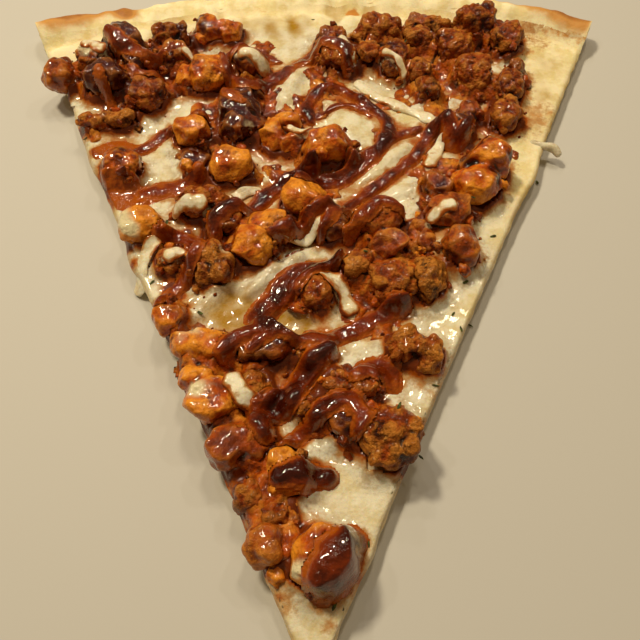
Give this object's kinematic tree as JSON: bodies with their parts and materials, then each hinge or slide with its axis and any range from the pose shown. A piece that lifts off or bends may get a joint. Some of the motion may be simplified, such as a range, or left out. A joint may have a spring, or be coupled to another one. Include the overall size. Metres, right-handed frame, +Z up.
{
  "type": "pizza slice",
  "caption": "Thin, wide slice of pizza with melted mozzarella, chunks of barbecued chicken and thick ribbons of dark barbecue sauce.",
  "frame": {"origin": "under the middle of the slice's box, on the surface that it lies on", "axes": "+Z up, +Y from the tip to the crust, +X across the slice"},
  "size_m": [0.199, 0.2258, 0.0173],
  "materials": {
    "dough": "baked dough, matt, toasted at the rim",
    "cheese": "melted mozzarella, soft sheen",
    "chicken_diced": "smooth orange diced chicken, moist",
    "chicken_browned": "craggy browned chicken, moist in the hollows",
    "chicken_glazed": "chicken glazed with dark sauce, glossy",
    "sauce": "barbecue sauce, glossy and translucent where thin",
    "herbs": "dried herb flecks, matt"
  },
  "bodies": {
    "root": {"cheese": "cheese", "chicken_browned_02": "chicken_browned", "chicken_browned_05": "chicken_browned", "chicken_browned_06": "chicken_browned", "chicken_browned_09": "chicken_browned", "chicken_browned_18": "chicken_browned", "chicken_browned_19": "chicken_browned", "chicken_browned_20": "chicken_browned", "chicken_browned_21": "chicken_browned", "chicken_browned_22": "chicken_browned", "chicken_browned_23": "chicken_browned", "chicken_browned_24": "chicken_browned", "chicken_browned_25": "chicken_browned", "chicken_browned_32": "chicken_browned", "chicken_browned_34": "chicken_browned", "chicken_browned_35": "chicken_browned", "chicken_browned_39": "chicken_browned", "chicken_browned_40": "chicken_browned", "chicken_browned_45": "chicken_browned", "chicken_browned_46": "chicken_browned", "chicken_browned_47": "chicken_browned", "chicken_browned_48": "chicken_browned", "chicken_browned_49": "chicken_browned", "chicken_browned_52": "chicken_browned", "chicken_browned_54": "chicken_browned", "chicken_browned_55": "chicken_browned", "chicken_diced_07": "chicken_diced", "chicken_diced_08": "chicken_diced", "chicken_diced_10": "chicken_diced", "chicken_diced_11": "chicken_diced", "chicken_diced_13": "chicken_diced", "chicken_diced_16": "chicken_diced", "chicken_diced_17": "chicken_diced", "chicken_diced_27": "chicken_diced", "chicken_diced_31": "chicken_diced", "chicken_diced_33": "chicken_diced", "chicken_diced_36": "chicken_diced", "chicken_diced_41": "chicken_diced", "chicken_diced_42": "chicken_diced", "chicken_diced_44": "chicken_diced", "chicken_diced_51": "chicken_diced", "chicken_diced_57": "chicken_diced", "chicken_glazed_01": "chicken_glazed", "chicken_glazed_03": "chicken_glazed", "chicken_glazed_04": "chicken_glazed", "chicken_glazed_12": "chicken_glazed", "chicken_glazed_14": "chicken_glazed", "chicken_glazed_15": "chicken_glazed", "chicken_glazed_26": "chicken_glazed", "chicken_glazed_28": "chicken_glazed", "chicken_glazed_29": "chicken_glazed", "chicken_glazed_30": "chicken_glazed", "chicken_glazed_37": "chicken_glazed", "chicken_glazed_38": "chicken_glazed", "chicken_glazed_43": "chicken_glazed", "chicken_glazed_50": "chicken_glazed", "chicken_glazed_53": "chicken_glazed", "chicken_glazed_56": "chicken_glazed", "dough": "dough"}
  },
  "joints": []
}
